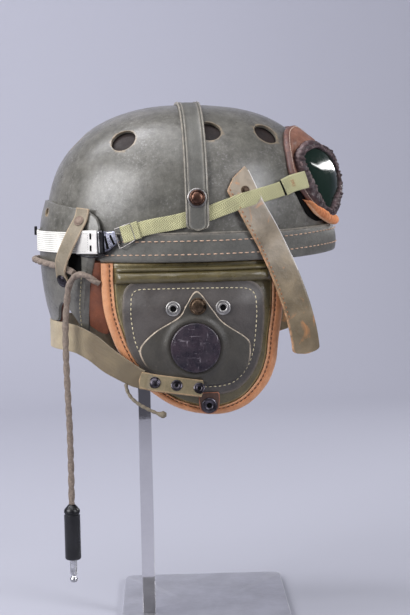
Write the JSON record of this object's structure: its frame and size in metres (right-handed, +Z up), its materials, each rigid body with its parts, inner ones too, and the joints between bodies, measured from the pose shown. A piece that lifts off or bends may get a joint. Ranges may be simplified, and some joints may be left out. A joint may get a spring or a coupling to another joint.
{
  "type": "tanker helmet with goggles on a display stand",
  "caption": "Hard vented crown with leather ear flaps, headset receivers, neck guard, straps, leather goggles and a hanging lead, held up on a square post and plate.",
  "frame": {"origin": "on the underside of the stand's plate, below the middle of the crown", "axes": "+X to the helmet's front, +Y to the wearer's left, +Z up along the post"},
  "size_m": [0.3148, 0.3192, 0.519],
  "materials": {
    "crown_fibre": "painted olive grey fibre, worn satin",
    "lining_leather": "brown chamois leather",
    "grey_leather": "grey green leather, worn",
    "olive_leather": "olive leather, worn to tan",
    "tan_leather": "tan binding leather, rubbed",
    "khaki_leather": "khaki leather, dry",
    "goggle_leather": "dark brown leather, creased",
    "chamois": "orange chamois, puckered",
    "goggle_webbing": "yellow green cotton webbing",
    "khaki_webbing": "khaki cotton webbing",
    "white_elastic": "ribbed white elastic",
    "textile_cord": "twisted textile cord, faded",
    "dark_brass": "blackened brass, worn",
    "worn_steel": "dulled steel",
    "black_plastic": "black moulded plastic, scratched",
    "green_glass": "dark green glass",
    "stand_steel": "satin steel"
  },
  "bodies": {
    "root": {"crown_shell": "crown_fibre", "crown_lining": "lining_leather", "brim_band": "grey_leather", "neck_guard": "crown_fibre", "guard_lining": "lining_leather", "crown_strap": "grey_leather", "crown_strap_snap_right": "dark_brass", "crown_strap_snap_left": "dark_brass", "nape_strap": "khaki_webbing", "goggle_elastic": "white_elastic", "side_strap_right": "olive_leather", "side_strap_left": "olive_leather", "ear_flap_right": "olive_leather", "ear_flap_left": "olive_leather", "ear_binding_right": "tan_leather", "ear_binding_left": "tan_leather", "ear_roll_right": "olive_leather", "ear_roll_left": "olive_leather", "receiver_pocket_right": "grey_leather", "receiver_pocket_left": "grey_leather", "receiver_cover_right": "grey_leather", "receiver_cover_left": "grey_leather", "receiver_right": "black_plastic", "receiver_left": "black_plastic", "cover_snap_right": "dark_brass", "cover_snap_left": "dark_brass", "pocket_eyelet_rear_right": "worn_steel", "pocket_eyelet_rear_left": "worn_steel", "pocket_eyelet_front_right": "worn_steel", "pocket_eyelet_front_left": "worn_steel", "flap_tab_right": "grey_leather", "flap_tab_left": "grey_leather", "nape_tab_right": "khaki_leather", "nape_tab_left": "khaki_leather", "guard_strap_right": "khaki_leather", "guard_strap_left": "khaki_leather", "guard_strap_snap_top_right": "dark_brass", "guard_strap_snap_top_left": "dark_brass", "guard_strap_snap_bottom_right": "dark_brass", "guard_strap_snap_bottom_left": "dark_brass", "goggle_webbing_right": "goggle_webbing", "goggle_webbing_left": "goggle_webbing", "strap_buckle_right": "worn_steel", "strap_buckle_left": "worn_steel", "goggle_lens_right": "green_glass", "goggle_lens_left": "green_glass", "goggle_rim_right": "goggle_leather", "goggle_rim_left": "goggle_leather", "goggle_cup_right": "goggle_leather", "goggle_cup_left": "goggle_leather", "goggle_lining_right": "chamois", "goggle_lining_left": "chamois", "goggle_bridge": "goggle_leather", "headset_lead": "textile_cord", "headset_branch": "textile_cord", "plug_body": "black_plastic", "plug_tip": "worn_steel", "flap_lace": "khaki_leather", "stand_plate": "stand_steel", "stand_post": "stand_steel"}
  },
  "joints": []
}
